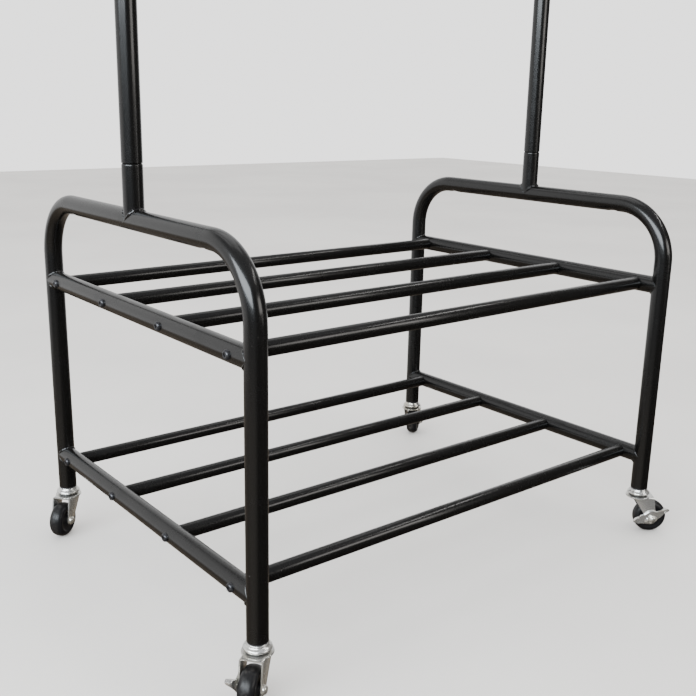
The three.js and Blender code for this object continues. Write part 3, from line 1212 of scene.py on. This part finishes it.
# floor, light and camera

floorSize = 14.0
floorMesh = bpy.data.meshes.new("studio_floor")
half = floorSize / 2
floorMesh.from_pydata([(-half, -half, 0), (half, -half, 0), (half, half, 0), (-half, half, 0)],
                      [], [(0, 1, 2, 3)])
floorMesh.materials.append(makeFloorFinish("paleFloor", floorLook))
floor = newObject("studio_floor", floorMesh)
floor.visible_glossy = False  # the tubes mirror the dim studio instead

lights = {
    "leftWindow": {
        "at": (-2.9, -1.0, 1.8), "size": (3.9, 1.6), "power": 215, "tint": (0.87, 0.94, 1.0),
    },
    "frontWindow": {
        "at": (0.95, -2.6, 1.15), "size": (1.3, 0.9), "power": 14, "tint": (1.0, 0.97, 0.93),
    },
    "highStrip": {
        "at": (1.9, -1.4, 2.6), "size": (1.9, 0.14), "power": 11, "tint": (1.0, 0.98, 0.95),
    },
    "rightStrip": {
        "at": (1.5, -2.4, 0.7), "size": (0.3, 1.3), "power": 2.2, "tint": (1.0, 0.97, 0.93),
    },
    "topSoft": {
        "at": (0.4, 1.2, 3.6), "size": (3.0, 2.4), "power": 20, "tint": (1.0, 1.0, 1.0),
    },
}
aim = Vector((0, 0, 0.35))
for name, look in lights.items():
    lamp = bpy.data.lights.new(name, "AREA")
    lamp.shape = "RECTANGLE"
    lamp.size, lamp.size_y = look["size"]
    lamp.energy = look["power"]
    lamp.color = look["tint"]
    made = bpy.data.objects.new(name, lamp)
    made.location = look["at"]
    made.rotation_euler = (aim - Vector(look["at"])).to_track_quat("-Z", "Y").to_euler()
    scene.collection.objects.link(made)

world = bpy.data.worlds.new("studio")
world.use_nodes = True
scene.world = world
sky = Graph(world.node_tree)
world.node_tree.nodes.clear()


def band(value, low, high):
    values = {"Value": value, "From Min": low, "From Max": high}
    return sky.node("ShaderNodeMapRange", {"interpolation_type": "SMOOTHSTEP"}, values)["Result"]


def mixedColour(share, first, second):
    return sky.node("ShaderNodeMix", {"data_type": "RGBA"}, {0: share, 6: first, 7: second})[2]


# what the tubes mirror: a bright wall behind, dim ones to the left and in front
room = {
    "pale": (0.86, 0.855, 0.85),  # what every other ray sees
    "paleStrength": 2.5,
    "backWall": (0.95, 0.95, 0.95),
    "leftWall": (0.14, 0.145, 0.155),
    "frontWall": (0.055, 0.052, 0.05),
    "backGround": (0.24, 0.20, 0.16),
    "leftGround": (0.42, 0.38, 0.33),
    "frontGround": (0.05, 0.042, 0.035),
    "ceiling": (0.32, 0.32, 0.33),
    "turnBack": (0.0, 0.5),
    "turnLeft": (0.2, 0.8),
    "horizon": (-0.32, -0.20),
    "ceilingEdge": (0.45, 0.80),
}
towards = sky.node("ShaderNodeTexCoord")["Generated"]
ways = sky.node("ShaderNodeSeparateXYZ", None, {"Vector": towards})
toBack = band(ways["Y"], *room["turnBack"])
toLeft = band(-1 * ways["X"], *room["turnLeft"])
walls = mixedColour(toLeft, room["frontWall"], room["leftWall"])
walls = mixedColour(toBack, walls, room["backWall"])
ground = mixedColour(toLeft, room["frontGround"], room["leftGround"])
ground = mixedColour(toBack, ground, room["backGround"])
around = mixedColour(band(ways["Z"], *room["horizon"]), ground, walls)
around = mixedColour(band(ways["Z"], *room["ceilingEdge"]), around, room["ceiling"])
mirrored = sky.node("ShaderNodeLightPath")["Is Glossy Ray"]
dim = sky.node("ShaderNodeBackground", None, {"Color": around, "Strength": 1.0})
paleRoom = {"Color": room["pale"], "Strength": room["paleStrength"]}
pale = sky.node("ShaderNodeBackground", None, paleRoom)
mixed = sky.node("ShaderNodeMixShader", None, {0: mirrored, 1: pale[0], 2: dim[0]})
sky.node("ShaderNodeOutputWorld", None, {"Surface": mixed[0]})

cameraPlace = {
    "at": (-0.8432, -1.0163, 0.6425),
    "heading": 38.9,  # from +y towards +x
    "down": 14.97,
    "roll": 1.13,
    "lens": 48.10,
    "sensor": 36.0,
    "nearest": 0.02,
}


def makeCamera(place):
    yaw, pitch, roll = (math.radians(place[key]) for key in ("heading", "down", "roll"))
    ahead = Vector((math.sin(yaw) * math.cos(pitch), math.cos(yaw) * math.cos(pitch),
                    -math.sin(pitch)))
    level = Vector((math.cos(yaw), -math.sin(yaw), 0))
    above = level.cross(ahead)
    right = level * math.cos(roll) + above * math.sin(roll)
    up = above * math.cos(roll) - level * math.sin(roll)
    lens = bpy.data.cameras.new("camera")
    lens.lens = place["lens"]
    lens.sensor_width = place["sensor"]
    lens.clip_start = place["nearest"]
    made = bpy.data.objects.new("camera", lens)
    turn = Matrix((right, up, -ahead)).transposed().to_4x4()
    made.matrix_world = Matrix.Translation(place["at"]) @ turn
    scene.collection.objects.link(made)
    return made


scene.camera = makeCamera(cameraPlace)
print("studio lit")
